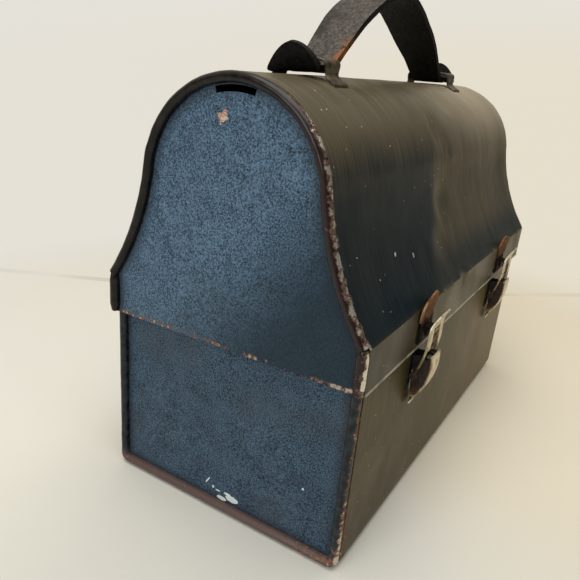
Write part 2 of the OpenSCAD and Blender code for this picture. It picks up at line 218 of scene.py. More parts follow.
bpy.ops.mesh.primitive_grid_add(x_subdivisions=8, y_subdivisions=8, size=40, location=(0, 0, -0.0002))
table = bpy.context.object
table.name = "table"
bpy.ops.object.transform_apply(location=True)
pale, tree, shader, mm = finish_called("pale_table")
x, y, z = parts_of(tree, mm)
away = put(tree, "VectorMath", operation="LENGTH", In0=mm).outputs["Value"]
cloth = noise(tree, mm, 0.004, 2.0)
# Painted light: the table is tinted warmer towards the right, where the warm light falls.
warm = ramp(tree, maths(tree, "DIVIDE", minus(tree, x, y), away), -0.3, 0.9)
near = blend(tree, warm, (0.70, 0.69, 0.65), (0.72, 0.66, 0.54))
# Painted shade: the table is painted darker grey towards the front left.
near = blend(tree, ramp(tree, plus(tree, x, times(tree, y, 0.5)), -60.0, -230.0, 0.0, 0.9), near,
             (0.57, 0.57, 0.54))
near = blend(tree, ramp(tree, cloth, 0.3, 0.7, 0.0, 0.3), near, (0.76, 0.72, 0.62))
far = blend(tree, warm, (0.78, 0.75, 0.68), (0.79, 0.73, 0.60))
edge = ramp(tree, away, 270.0, 430.0)


def fold_shade(across_x, across_y, through, half):
    """A soft line of painted shade where the cloth behind the box is folded."""
    side = minus(tree, plus(tree, times(tree, x, across_x), times(tree, y, across_y)), through)
    return ramp(tree, size_of(tree, side), half, half * 0.4)


# Painted shade along two folds of the cloth behind the box.
fold_shades = plus(tree, times(tree, fold_shade(0.879, 0.476, 179.4, 7.0), ramp(tree, y, 180.0, 280.0)),
             times(tree, fold_shade(0.741, 0.672, 195.2, 7.0), ramp(tree, x, 200.0, 280.0)))
fold_shades = times(tree, fold_shades, 0.17)
seen_far = times(tree, edge, put(tree, "LightPath").outputs["Is Camera Ray"])
plug(tree, shader, Base_Color=blend(tree, maths(tree, "MAXIMUM", seen_far, fold_shades), near, (0.0, 0.0, 0.0)),
     Emission_Color=blend(tree, fold_shades, blend(tree, seen_far, (0.0, 0.0, 0.0), far), (0.0, 0.0, 0.0)),
     Emission_Strength=1.0, Roughness=0.9, Specular_IOR_Level=ramp(tree, edge, 0.0, 1.0, 0.1, 0.0))
table.data.materials.append(pale)


# ---- lid sheet ----
# The dome and both flared sides are one steel sheet, rolled round the bottle
# and bent out to a straight skirt, then stove-enamelled. Its lower edge is worn
# bright. It is dented near the middle of the front and slit for the handle.

def begin(name):
    """Names the primitive just added, settles its place into its mesh and opens it."""
    made = bpy.context.object
    made.name = made.data.name = name
    bpy.ops.object.transform_apply(location=True, rotation=True, scale=True)
    bpy.ops.object.mode_set(mode="EDIT")
    bpy.ops.mesh.select_all(action="SELECT")
    return made


def pick(where, kind="VERT"):
    """Selects only the vertices, edges or faces whose middle, in millimetres, passes the test."""
    bpy.ops.mesh.select_mode(type=kind)
    bpy.ops.mesh.select_all(action="DESELECT")
    mesh = bmesh.from_edit_mesh(bpy.context.object.data)
    for part in {"VERT": mesh.verts, "EDGE": mesh.edges, "FACE": mesh.faces}[kind]:
        corners = [part] if kind == "VERT" else part.verts
        middle = sum((c.co for c in corners), Vector()) * (1000 / len(corners))
        part.select_set(bool(where(middle)))
    mesh.select_flush_mode()
    bmesh.update_edit_mesh(bpy.context.object.data)


def move(x, y, z):
    """Moves what is selected, in millimetres."""
    bpy.ops.transform.translate(value=(x / 1000, y / 1000, z / 1000))


def stretch(x, y, z, about=None):
    """Scales what is selected about its middle, or about a point in millimetres."""
    if about is None:
        bpy.ops.transform.resize(value=(x, y, z))
    else:
        bpy.ops.transform.resize(value=(x, y, z), center_override=[a / 1000 for a in about])


def grow(x, y, z, steps=1):
    """Extrudes what is selected by so many millimetres, in equal steps."""
    for _ in range(steps):
        bpy.ops.mesh.extrude_region_move(
            TRANSFORM_OT_translate={"value": (x / steps / 1000, y / steps / 1000, z / steps / 1000)})


def sweep(y, z, degrees, steps):
    """Spins what is selected about a line along X, from +Y towards +Z."""
    bpy.ops.mesh.spin(steps=steps, angle=math.radians(degrees), center=(0, y / 1000, z / 1000),
                      axis=(-1, 0, 0))


def modify(kind, **settings):
    """Leaves the mesh, adds a modifier with these settings and applies it."""
    bpy.ops.object.mode_set(mode="OBJECT")
    added = bpy.context.object.modifiers.new(kind, kind)
    for word, value in settings.items():
        setattr(added, word, value)
    bpy.ops.object.modifier_apply(modifier=added.name)


def rumple(size, strength, middle=0.5):
    """Pushes the surface in and out by a soft cloud pattern; size and strength in millimetres."""
    cloud = bpy.data.textures.get(f"cloud_{size}") or bpy.data.textures.new(f"cloud_{size}", "CLOUDS")
    cloud.noise_scale = size / 1000
    modify("DISPLACE", texture=cloud, texture_coords="LOCAL", strength=strength / 1000, mid_level=middle)


def dent(where, push, reach):
    """Pushes the vertex nearest a point, and softly all within reach of it."""
    bpy.ops.object.mode_set(mode="EDIT")
    spot = Vector(where)
    mesh = bmesh.from_edit_mesh(bpy.context.object.data)
    nearest = min(mesh.verts, key=lambda v: (v.co * 1000 - spot).length)
    bpy.ops.mesh.select_mode(type="VERT")
    bpy.ops.mesh.select_all(action="DESELECT")
    nearest.select_set(True)
    bmesh.update_edit_mesh(bpy.context.object.data)
    bpy.ops.transform.translate(value=[p / 1000 for p in push], use_proportional_edit=True,
                                proportional_edit_falloff="SMOOTH", proportional_size=reach / 1000)


def pick_all():
    """Selects the whole mesh."""
    bpy.ops.mesh.select_all(action="SELECT")


def double_over(within=0.2):
    """Mirrors the half made so far across the box's long middle."""
    modify("MIRROR", use_axis=(False, True, False), merge_threshold=within / 1000)


def only(*pieces):
    """Selects these pieces and no others; the first is the one worked on."""
    bpy.ops.object.select_all(action="DESELECT")
    for piece in pieces:
        piece.select_set(True)
    bpy.context.view_layer.objects.active = pieces[0]


def cut(piece, cutter):
    """Cuts a closed shape out of a piece and throws the shape away."""
    bpy.ops.object.mode_set(mode="OBJECT")
    only(piece)
    modify("BOOLEAN", operation="DIFFERENCE", object=cutter, solver="EXACT")
    bpy.data.objects.remove(cutter)


def weld(within=0.01):
    """Merges doubles within so many millimetres and turns every face outwards."""
    bpy.ops.object.mode_set(mode="EDIT")
    bpy.ops.mesh.select_mode(type="VERT")
    pick_all()
    bpy.ops.mesh.remove_doubles(threshold=within / 1000)
    bpy.ops.mesh.dissolve_degenerate(threshold=within / 1000)
    pick_all()
    bpy.ops.mesh.normals_make_consistent(inside=False)
    bpy.ops.object.mode_set(mode="OBJECT")


def settle(made, body, slot, finish, *nodes, angle=40):
    """Merges, smooths and paints a piece, and says what it rides on and stands for."""
    weld()
    bpy.ops.object.shade_smooth_by_angle(angle=math.radians(angle))
    made.data.materials.clear()
    made.data.materials.append(finish)
    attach(made, body)
    if nodes:
        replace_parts(made, *nodes)
    return made


def mirrored(made, name, body, slot, *nodes):
    """A copy with its own mesh at the box's other end."""
    bpy.ops.object.select_all(action="DESELECT")
    twin = made.copy()
    twin.data = made.data.copy()
    twin.name = twin.data.name = name
    twin.parent = None
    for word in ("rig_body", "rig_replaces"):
        if word in twin:
            del twin[word]
    bpy.context.scene.collection.objects.link(twin)
    bpy.context.view_layer.objects.active = twin
    twin.select_set(True)
    twin.scale = (-1, 1, 1)
    bpy.ops.object.transform_apply(scale=True)
    bpy.ops.object.mode_set(mode="EDIT")
    pick_all()
    bpy.ops.mesh.normals_make_consistent(inside=False)
    bpy.ops.object.mode_set(mode="OBJECT")
    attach(twin, body)
    if nodes:
        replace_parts(twin, *nodes)
    return twin


def group_called(name, takes, gives):
    """A node group with named inputs (name, kind, usual value) and outputs (name, kind)."""
    made = bpy.data.node_groups.new(name, "ShaderNodeTree")
    for word, kind, usual in takes:
        socket = made.interface.new_socket(word, in_out="INPUT", socket_type="NodeSocket" + kind)
        if usual is not None:
            socket.default_value = usual
    for word, kind in gives:
        made.interface.new_socket(word, in_out="OUTPUT", socket_type="NodeSocket" + kind)
    start, end = made.nodes.new("NodeGroupInput"), made.nodes.new("NodeGroupOutput")
    return made, start.outputs, end.inputs


# Worn paint: as wear rises the paint goes, first to the rusty primer and then to
# bright steel, with ragged borders.
worn_paint, takes, gives = group_called(
    "worn_paint",
    [("Vector", "Vector", None), ("Paint", "Color", (0, 0, 0, 1)),
     ("Rust", "Color", (0.12, 0.06, 0.04, 1)), ("Bare", "Color", (0.50, 0.47, 0.40, 1)),
     ("Wear", "Float", 0.0), ("Gloss", "Float", 0.4), ("Grain", "Float", 0.35)],
    [("Color", "Color"), ("Roughness", "Float"), ("Metallic", "Float"), ("Height", "Float")])
ragged = noise(worn_paint, takes["Vector"], takes["Grain"], 7.0, 0.62)
fine = noise(worn_paint, takes["Vector"], 2.6, 3.0, 0.6)
level = plus(worn_paint, takes["Wear"], times(worn_paint, ragged, 1.7), times(worn_paint, fine, 0.25))
primer = ramp(worn_paint, level, 1.46, 1.51)
steel = ramp(worn_paint, level, 1.66, 1.71)
mottled = blend(worn_paint, ramp(worn_paint, fine, 0.35, 0.65), takes["Rust"],
                blend(worn_paint, 0.45, takes["Rust"], (0.22, 0.15, 0.12)))
worn_paint.links.new(blend(worn_paint, steel, blend(worn_paint, primer, takes["Paint"], mottled),
                           takes["Bare"]), gives["Color"])
worn_paint.links.new(plus(worn_paint, takes["Gloss"],
                          times(worn_paint, minus(worn_paint, primer, steel), 0.32)), gives["Roughness"])
worn_paint.links.new(times(worn_paint, steel, 0.75), gives["Metallic"])
worn_paint.links.new(minus(worn_paint, 1.0, times(worn_paint, primer, 0.7)), gives["Height"])

# Scattered specks: small round spots, one now and then.
specks, takes, gives = group_called(
    "specks",
    [("Vector", "Vector", None), ("Spacing", "Float", 10.0), ("Radius", "Float", 0.4),
     ("Share", "Float", 0.3)], [("Mask", "Float")])
cell = put(specks, "TexVoronoi", feature="F1", Scale=1.0, In0=put(
    specks, "VectorMath", operation="SCALE", In0=takes["Vector"],
    Scale=maths(specks, "DIVIDE", 1.0, takes["Spacing"])).outputs[0])
chance = put(specks, "SeparateColor", In0=cell.outputs["Color"]).outputs
wanted = maths(specks, "LESS_THAN", chance[0], takes["Share"])
radius = times(specks, maths(specks, "DIVIDE", takes["Radius"], takes["Spacing"]),
               ramp(specks, chance[1], 0.0, 1.0, 0.4, 1.3))
away = maths(specks, "DIVIDE", cell.outputs["Distance"], radius)
specks.links.new(times(specks, wanted, ramp(specks, away, 1.0, 0.7)), gives["Mask"])

# Brushed streaks: noise drawn out along the way that the sheet was rolled.
streaks, takes, gives = group_called(
    "streaks", [("Vector", "Vector", None), ("Across", "Float", 0.8), ("Along", "Float", 0.03)],
    [("Mask", "Float")])
parts = parts_of(streaks, takes["Vector"])
drawn = put(streaks, "CombineXYZ", X=times(streaks, parts[0], takes["Across"]),
            Y=times(streaks, parts[1], takes["Along"]),
            Z=times(streaks, parts[2], takes["Along"])).outputs[0]
streaks.links.new(noise(streaks, drawn, 1.0, 5.0, 0.65), gives["Mask"])


def use(tree, group, **values):
    """The outputs of a group, with these inputs."""
    made = tree.nodes.new("ShaderNodeGroup")
    made.node_tree = group
    for word, value in values.items():
        if isinstance(value, bpy.types.NodeSocket):
            tree.links.new(value, made.inputs[word])
        else:
            made.inputs[word].default_value = (*value, 1) if hasattr(value, "__len__") else value
    return made.outputs


def length_from(tree, first, first_middle, second, second_middle):
    """Distance in a plane from a point."""
    a = maths(tree, "POWER", minus(tree, first, first_middle), 2.0)
    b = maths(tree, "POWER", minus(tree, second, second_middle), 2.0)
    return maths(tree, "SQRT", plus(tree, a, b))


# The lid's outline in millimetres: a round dome, a hollow flare and a straight skirt.
# Thicknesses and the rolled rim's radius are in metres.
dome_radius, dome_height, dome_turn = 41.6, 144.1, 81.3
flare_radius, flare_out, flare_height = 114.0, 153.81, 167.64
flare_top, flare_foot = 150.4, 100.33
skirt_out = 61.8
sheet_thickness, plate_thickness = 0.0005, 0.0008
rim_radius = 0.00225
loop_place = 77.0

lid_enamel, tree, shader, mm = finish_called("lid_enamel")
x, y, z = parts_of(tree, mm)
line = use(tree, streaks, Vector=mm, Across=1.1)["Mask"]
broad = use(tree, streaks, Vector=mm, Across=0.05, Along=0.006)["Mask"]
patch = noise(tree, mm, 0.035, 3.0)
# Painted light and reflection: the black enamel is painted blue-black where it mirrors the dim room in front,
# and olive on the dome's lit side and top.
black = blend(tree, ramp(tree, line, 0.38, 0.64), (0.0010, 0.0050, 0.0080), (0.0060, 0.0140, 0.0180))
olive = blend(tree, ramp(tree, line, 0.36, 0.66), (0.064, 0.051, 0.029), (0.116, 0.095, 0.058))
bend = plus(tree, x, times(tree, maths(tree, "MAXIMUM", minus(tree, 134.0, z), 0.0), 0.75))
lit_side = ramp(tree, plus(tree, bend, times(tree, patch, 12.0)), -26.0, -8.0)
lit_side = times(tree, lit_side, ramp(tree, broad, 0.35, 0.6, 0.70, 1.0))
lit_side = times(tree, lit_side, ramp(tree, z, 106.0, 122.0, 0.25, 1.0))
lit_top = ramp(tree, plus(tree, z, times(tree, patch, 10.0)), 150.0, 176.0)
olive = blend(tree, maths(tree, "MAXIMUM", times(tree, lit_side, 0.9), lit_top), black, olive)
# Painted sheen: a broad lighter patch at the top right of the dome, towards the handle.
painted_sheen = times(tree, ramp(tree, x, -30.0, 95.0), ramp(tree, z, 140.0, 178.0))
painted_sheen = times(tree, painted_sheen, ramp(tree, broad, 0.30, 0.62, 0.75, 1.0))
olive = blend(tree, painted_sheen, olive, (0.320, 0.265, 0.185))
# Painted shade: the dome is painted darker towards the back.
back = ramp(tree, y, -5.0, 25.0)
olive = blend(tree, times(tree, back, 0.7), olive, (0.024, 0.022, 0.017))
skirt = ramp(tree, z, 101.5, 99.5)
skirt_tone = blend(tree, ramp(tree, line, 0.36, 0.66), (0.028, 0.021, 0.006), (0.058, 0.044, 0.016))
olive = blend(tree, skirt, olive,
              blend(tree, ramp(tree, x, -105.0, -70.0, 0.35, 1.0), (0.024, 0.020, 0.015), skirt_tone))
hem = times(tree, ramp(tree, z, 83.0, 82.2), ramp(tree, noise(tree, mm, 0.08, 3.0), 0.3, 0.5, 0.35, 1.0))
olive = blend(tree, hem, olive, (0.36, 0.33, 0.26))
nicks = use(tree, specks, Vector=mm, Spacing=4.6, Radius=0.34, Share=0.65)["Mask"]
blob = maths(tree, "MINIMUM", length_from(tree, x, -79.9, z, 122.1), length_from(tree, x, -62.4, z, 118.4))
blob = plus(tree, blob, times(tree, noise(tree, mm, 0.9, 4.0, 0.7), 3.4))
nicks = maths(tree, "MAXIMUM", nicks, times(tree, ramp(tree, blob, 2.5, 2.25), ramp(tree, y, -40.0, -45.0)))
ends = ramp(tree, size_of(tree, x), 122.5, 124.6)
wear = plus(tree, times(tree, hem, 0.2), times(tree, ends, 0.45),
            times(tree, ramp(tree, z, 102.5, 100.2), ramp(tree, z, 98.0, 100.2), 0.22))
paint = use(tree, worn_paint, Vector=mm, Paint=olive, Rust=(0.10, 0.060, 0.038), Bare=(0.55, 0.52, 0.44),
            Wear=wear, Gloss=0.36)
plug(tree, shader, Base_Color=blend(tree, nicks, paint["Color"], (0.42, 0.40, 0.34)),
     Roughness=plus(tree, paint["Roughness"], ramp(tree, patch, 0.35, 0.7, -0.04, 0.10)),
     Metallic=paint["Metallic"], Specular_IOR_Level=0.24,
     Normal=relief(tree, plus(tree, paint["Height"], times(tree, line, 0.5)), 0.35, 0.12))

bpy.ops.mesh.primitive_grid_add(x_subdivisions=124, y_subdivisions=1, size=0.2,
                                location=(0, 0, (dome_height + dome_radius) / 1000))
lid_sheet = begin("lid_sheet")
pick(lambda p: p.y > 0)
bpy.ops.mesh.delete(type="VERT")
pick_all()
stretch(1.247, 0, 1, (0, 0, dome_height + dome_radius))
sweep(0, dome_height, -dome_turn, 34)
sweep(flare_out, flare_height, 27.5, 22)
grow(0, 0, -17.6, 10)
grow(0, 0.25, -1.0)
double_over()
rumple(55, 0.7)
rumple(16, 0.22)
for where, push, reach in (((-14, -44.8, 134), (0, 1.5, 0.4), 13), ((-11, -36, 165), (0, 1.2, -0.8), 12),
                           ((-29, -53, 114), (0, 0.9, 0.5), 12), ((2, -39.8, 156), (0, 0.9, -0.2), 5),
                           ((-12, -61.5, 99), (0, 0.9, 0), 6), ((25, -24, 178), (0, 0.5, -1.0), 14),
                           ((60, -36, 165), (0, 0.5, -0.5), 22), ((-60, 44, 140), (0, -0.9, 0), 16)):
    dent(where, push, reach)
modify("SOLIDIFY", thickness=sheet_thickness, offset=-1)
for side_x in (-loop_place, loop_place):
    for side_y in (-16.5, 16.5):
        bpy.ops.mesh.primitive_cube_add(size=0.01, location=(side_x / 1000, side_y / 1000, 0.1815))
        cutter = begin("slit_cutter")
        stretch(1.24, 0.17, 1)
        cut(lid_sheet, cutter)
settle(lid_sheet, "lid", "black_enamel", lid_enamel, "lid_wrap", angle=35)


# ---- lid end panels ----
# Each end of the lid is a flat steel plate seamed into the rolled rim, painted
# slate blue with a fine wrinkle and pierced by one curved vent under the crown.

# Wrinkle: dense fine grain between a dark and a light colour.
wrinkle, takes, gives = group_called(
    "wrinkle",
    [("Vector", "Vector", None), ("Dark", "Color", (0.02, 0.03, 0.04, 1)),
     ("Light", "Color", (0.1, 0.14, 0.18, 1))], [("Color", "Color"), ("Height", "Float")])
grains = noise(wrinkle, takes["Vector"], 1.45, 3.0, 0.8, 0.1)
tone = plus(wrinkle, times(wrinkle, grains, 0.87),
            times(wrinkle, noise(wrinkle, takes["Vector"], 0.12, 3.0), 0.13))
wrinkle.links.new(blend(wrinkle, ramp(wrinkle, tone, 0.36, 0.65), takes["Dark"], takes["Light"]),
                  gives["Color"])
wrinkle.links.new(grains, gives["Height"])

# Depth in from the lid's outline, in millimetres: dome, flare and skirt.
lid_depth, takes, gives = group_called("lid_depth", [("Vector", "Vector", None)], [("Depth", "Float")])
x, y, z = parts_of(lid_depth, takes["Vector"])
across = size_of(lid_depth, y)
in_dome = minus(lid_depth, dome_radius, length_from(lid_depth, across, 0.0, z, dome_height))
inwards = minus(lid_depth, 0.0, across)
from_flare = length_from(lid_depth, inwards, -flare_out, z, flare_height)
in_flare = minus(lid_depth, from_flare, flare_radius)
in_skirt = minus(lid_depth, skirt_out, across)
low = put(lid_depth, "Mix", data_type="FLOAT", In0=maths(lid_depth, "GREATER_THAN", z, flare_foot),
          In2=in_skirt, In3=in_flare)
high = put(lid_depth, "Mix", data_type="FLOAT", In0=maths(lid_depth, "GREATER_THAN", z, flare_top),
           In2=low.outputs[0], In3=in_dome)
lid_depth.links.new(high.outputs[0], gives["Depth"])

lid_navy, tree, shader, mm = finish_called("lid_navy")
x, y, z = parts_of(tree, mm)
depth = use(tree, lid_depth, Vector=mm)["Depth"]
grain = use(tree, wrinkle, Vector=mm, Dark=(0.001, 0.007, 0.016), Light=(0.135, 0.230, 0.345))
cloud = noise(tree, mm, 0.03, 3.0)
shade = times(tree, ramp(tree, depth, 10.0, 4.0), plus(tree, 0.35, times(tree, cloud, 0.6)))
blue = blend(tree, shade, grain["Color"], (0.018, 0.024, 0.030))
blue = blend(tree, ramp(tree, cloud, 0.45, 0.75, 0.0, 0.25), blue, (0.035, 0.050, 0.060))
# Painted shade: the end panel is darker towards the front and the bottom.
lower_front_shade = minus(tree, times(tree, y, -1.0), times(tree, minus(tree, z, 130.0), 0.8))
blue = blend(tree, ramp(tree, lower_front_shade, 0.0, 60.0, 0.0, 0.92), blue, (0.006, 0.018, 0.030))
nicks = use(tree, specks, Vector=mm, Spacing=4.0, Radius=0.30, Share=0.35)["Mask"]
foot = times(tree, ramp(tree, z, 84.2, 82.5), ramp(tree, noise(tree, mm, 0.10, 2.0), 0.3, 0.6, 0.5, 1.0))
scar = plus(tree, length_from(tree, y, 5.0, z, 170.2), times(tree, maths(tree, "GREATER_THAN", x, 0.0), 50.0))
wear = plus(tree, times(tree, foot, 0.62), times(tree, ramp(tree, scar, 4.0, 1.0), 0.30),
            times(tree, ramp(tree, y, -30.0, -52.0), ramp(tree, depth, 12.0, 5.0), 0.22))
paint = use(tree, worn_paint, Vector=mm, Paint=blue, Rust=(0.120, 0.055, 0.038), Bare=(0.42, 0.38, 0.33),
            Wear=wear, Gloss=0.50, Grain=0.5)
chips = plus(tree, scar, times(tree, noise(tree, mm, 0.55, 4.0, 0.7), 14.0))
flesh = blend(tree, ramp(tree, noise(tree, mm, 1.6, 2.0), 0.42, 0.58), (0.42, 0.17, 0.12), (0.62, 0.50, 0.38))
scarred = blend(tree, ramp(tree, chips, 9.2, 8.7), paint["Color"], flesh)
plug(tree, shader, Base_Color=blend(tree, nicks, scarred, (0.40, 0.42, 0.42)), Roughness=paint["Roughness"],
     Metallic=paint["Metallic"], Specular_IOR_Level=0.24,
     Normal=relief(tree, plus(tree, grain["Height"], times(tree, paint["Height"], 0.6)), 0.55, 0.22))

panel_x = -0.1244
bpy.ops.mesh.primitive_plane_add(size=0.002, rotation=(0, math.pi / 2, 0), location=(panel_x, 0.001, 0.1832))
lid_panel_left = begin("lid_panel_left")
pick(lambda p: p.y > 0.5 or p.z < 183.2)
bpy.ops.mesh.delete(type="VERT")
pick_all()
sweep(0, dome_height, -dome_turn, 30)
sweep(flare_out, flare_height, 27.3, 20)
grow(0, 0, -18.4, 8)
pick_all()
for step in range(24):
    bpy.ops.mesh.extrude_region_move(TRANSFORM_OT_translate={"value": (0, 0, 0)})
    stretch(1, (23 - step) / (24 - step), 1, (0, 0, 0))
weld(0.05)
double_over()
weld(0.05)
rumple(40, 0.9, 0.6)
rumple(9, 0.12)
dent((panel_x * 1000, 3.4, 178.5), (0.5, 0, 0), 5)
modify("SOLIDIFY", thickness=sheet_thickness, offset=0)
bpy.ops.mesh.primitive_plane_add(size=0.01, rotation=(math.pi / 2, 0, 0), location=(panel_x, 0, 0.18))
vent_cutter = begin("vent_cutter")
stretch(1, 1, 0.24)
sweep(0, dome_height, -13.6, 6)
pick(lambda p: abs(p.y) < 0.01, "FACE")
bpy.ops.mesh.delete(type="ONLY_FACE")
double_over(0.1)
weld()
cut(lid_panel_left, vent_cutter)
settle(lid_panel_left, "lid", "navy_enamel", lid_navy)
mirrored(lid_panel_left, "lid_panel_right", "lid", "navy_enamel")


# ---- lid rims ----
# The dome's edge and the end plate are rolled together into a rounded bead that
# stands out from the end. Below the bend each side has a short bead of its own.

rim_enamel, tree, shader, mm = finish_called("rim_enamel")
x, y, z = parts_of(tree, mm)
depth = use(tree, lid_depth, Vector=mm)["Depth"]
front = ramp(tree, y, -5.0, -40.0)
outer = ramp(tree, depth, 1.6, 0.1)
streak = noise(tree, mm, 0.25, 4.0)
black = blend(tree, ramp(tree, streak, 0.35, 0.65), (0.0025, 0.0022, 0.0020), (0.014, 0.010, 0.009))
black = blend(tree, times(tree, front, 0.55), black, (0.030, 0.015, 0.012))
wear = plus(tree, times(tree, front, 0.16), times(tree, outer, plus(tree, 0.18, times(tree, front, 0.34))))
wear = plus(tree, wear, times(tree, front, ramp(tree, z, 104.0, 99.0), 0.18))
paint = use(tree, worn_paint, Vector=mm, Paint=black, Rust=(0.060, 0.026, 0.018), Bare=(0.70, 0.64, 0.52),
            Wear=wear, Gloss=0.20, Grain=0.42)
plug(tree, shader, Base_Color=paint["Color"], Roughness=paint["Roughness"], Metallic=paint["Metallic"],
     Specular_IOR_Level=0.28, Normal=relief(tree, plus(tree, paint["Height"], streak), 0.3, 0.18))

bpy.ops.mesh.primitive_circle_add(vertices=16, radius=rim_radius, rotation=(math.pi / 2, 0, 0),
                                  location=(-0.1252, 0, 0.18345))
lid_rim_left = begin("lid_rim_left")
stretch(1.19, 1, 0.91)
move(0, 0, 0.2)
sweep(0, dome_height, -dome_turn, 48)
sweep(flare_out, flare_height, 26.9, 30)
double_over()
rumple(7, 0.35)
bars = []
for side in (-1, 1):
    bpy.ops.mesh.primitive_cylinder_add(vertices=16, radius=0.0023, depth=0.0186,
                                        location=(-0.12535, side * 0.05945, 0.0910))
    bars.append(begin("lid_rim_bar"))
    stretch(1.1, 1, 1)
    bpy.ops.mesh.subdivide(number_cuts=4)
    pick(lambda p: abs(p.z - 91.0) > 9.2)
    stretch(0.7, 0.7, 1)
    modify("BEVEL", width=0.0006, segments=2, limit_method="ANGLE")
only(lid_rim_left, *bars)
bpy.ops.object.join()
rumple(5, 0.2)
settle(lid_rim_left, "lid", "black_enamel", rim_enamel, "lid_end_left", angle=60)
mirrored(lid_rim_left, "lid_rim_right", "lid", "black_enamel", "lid_end_right")


# ---- body sheet ----
# Front, bottom and back are one steel sheet bent round the bottom corners and
# enamelled. The paint is rubbed to olive brown in near-vertical strokes.

wall_out, wall_height = 60.0, 93.0
body_enamel, tree, shader, mm = finish_called("body_enamel")
x, y, z = parts_of(tree, mm)
line = use(tree, streaks, Vector=mm, Across=0.7, Along=0.05)["Mask"]
patch = noise(tree, mm, 0.045, 4.0, 0.6)
olive = blend(tree, ramp(tree, line, 0.36, 0.66), (0.048, 0.036, 0.012), (0.088, 0.065, 0.025))
olive = blend(tree, ramp(tree, patch, 0.42, 0.70, 0.0, 0.6), olive, (0.122, 0.092, 0.042))
# Painted sheen: the front is painted lighter towards the right.
olive = blend(tree, ramp(tree, x, -40.0, 110.0, 0.0, 0.55), olive, (0.215, 0.160, 0.078))
side = ramp(tree, x, -112.0, -121.0)
corner = times(tree, ramp(tree, z, 55.0, 5.0), ramp(tree, x, -95.0, -122.0))
wear = plus(tree, times(tree, side, 0.30), times(tree, corner, 0.28))
wear = plus(tree, wear, times(tree, ramp(tree, z, 5.0, 0.5), 0.35))
paint = use(tree, worn_paint, Vector=mm, Paint=olive, Rust=(0.150, 0.062, 0.026), Bare=(0.46, 0.42, 0.34),
            Wear=wear, Gloss=0.42)
nicks = use(tree, specks, Vector=mm, Spacing=4.6, Radius=0.32, Share=0.5)["Mask"]
plug(tree, shader, Base_Color=blend(tree, nicks, paint["Color"], (0.40, 0.38, 0.32)),
     Roughness=paint["Roughness"], Metallic=paint["Metallic"], Specular_IOR_Level=0.13,
     Normal=relief(tree, plus(tree, paint["Height"], times(tree, line, 0.6)), 0.35, 0.15))

bpy.ops.mesh.primitive_grid_add(x_subdivisions=120, y_subdivisions=1, size=0.2,
                                location=(0, -wall_out / 1000, wall_height / 1000))
body_sheet = begin("body_sheet")
pick(lambda p: p.y > -wall_out)
bpy.ops.mesh.delete(type="VERT")
pick_all()
move(0, 100, 0)
stretch(1.205, 1, 1, (0, 0, wall_height))
grow(0, 0, -88, 40)
sweep(-55, 5, 90, 6)
grow(0, 55, 0, 26)
double_over()
for where, push, reach in (((-40, -60, 45), (0, 0.8, 0), 30), ((50, -60, 40), (0, 0.7, 0), 26),
                           ((-90, -60, 30), (0, 0.5, 0), 14),
                           ((10, -60, 20), (0, 0.5, 0), 12), ((30, 60, 50), (0, -0.8, 0), 28)):
    dent(where, push, reach)
modify("SOLIDIFY", thickness=sheet_thickness, offset=0)
settle(body_sheet, "root", "black_enamel", body_enamel, "body_wrap", angle=35)


# ---- body end panels ----
# Flat steel plates in the same wrinkled slate blue, a little darker than the
# lid's, with drops of pale paint near the bottom of the left one.

body_navy, tree, shader, mm = finish_called("body_navy")
x, y, z = parts_of(tree, mm)
depth = maths(tree, "MINIMUM", minus(tree, wall_out, size_of(tree, y)), z)
grain = use(tree, wrinkle, Vector=mm, Dark=(0.001, 0.004, 0.010), Light=(0.080, 0.140, 0.205))
cloud = noise(tree, mm, 0.035, 3.0)
shade = times(tree, ramp(tree, depth, 9.0, 3.5), plus(tree, 0.3, times(tree, cloud, 0.6)))
blue = blend(tree, shade, grain["Color"], (0.018, 0.020, 0.024))
blue = blend(tree, ramp(tree, cloud, 0.50, 0.72, 0.0, 0.28), blue, (0.060, 0.052, 0.055))
end_left = maths(tree, "LESS_THAN", x, 0.0)


def drop(along, height, wide, tall, slant=0.0):
    """A drop of paint on the end: one oval with an uneven edge."""
    a = minus(tree, y, along)
    b = minus(tree, z, height)
    a = maths(tree, "DIVIDE", plus(tree, a, times(tree, b, slant)), wide)
    b = maths(tree, "DIVIDE", b, tall)
    oval = plus(tree, maths(tree, "POWER", a, 2.0), maths(tree, "POWER", b, 2.0),
                times(tree, noise(tree, mm, 0.8, 2.0), 0.9))
    return times(tree, end_left, ramp(tree, oval, 1.5, 1.35))


drops = drop(-1.0, 5.4, 2.7, 1.1)
for spot in ((-6.6, 7.3, 3.3, 1.7), (-4.2, 8.9, 1.8, 0.8), (1.2, 8.6, 1.3, 0.4, 0.5), (3.9, 9.4, 0.5, 0.8),
             (7.1, 11.6, 0.4, 1.8, 0.6), (-40.6, 30.0, 0.5, 0.5)):
    drops = maths(tree, "MAXIMUM", drops, drop(*spot))
nicks = use(tree, specks, Vector=mm, Spacing=4.0, Radius=0.30, Share=0.3)["Mask"]
wear = times(tree, ramp(tree, depth, 5.5, 2.5), 0.42)
paint = use(tree, worn_paint, Vector=mm, Paint=blue, Rust=(0.14, 0.062, 0.038), Bare=(0.42, 0.38, 0.33),
            Wear=wear, Gloss=0.52, Grain=0.5)
speckled = blend(tree, nicks, paint["Color"], (0.38, 0.40, 0.40))
plug(tree, shader, Base_Color=blend(tree, drops, speckled, (0.66, 0.72, 0.70)),
     Roughness=paint["Roughness"], Metallic=paint["Metallic"], Specular_IOR_Level=0.2,
     Normal=relief(tree, plus(tree, grain["Height"], drops, times(tree, paint["Height"], 0.6)), 0.55, 0.22))

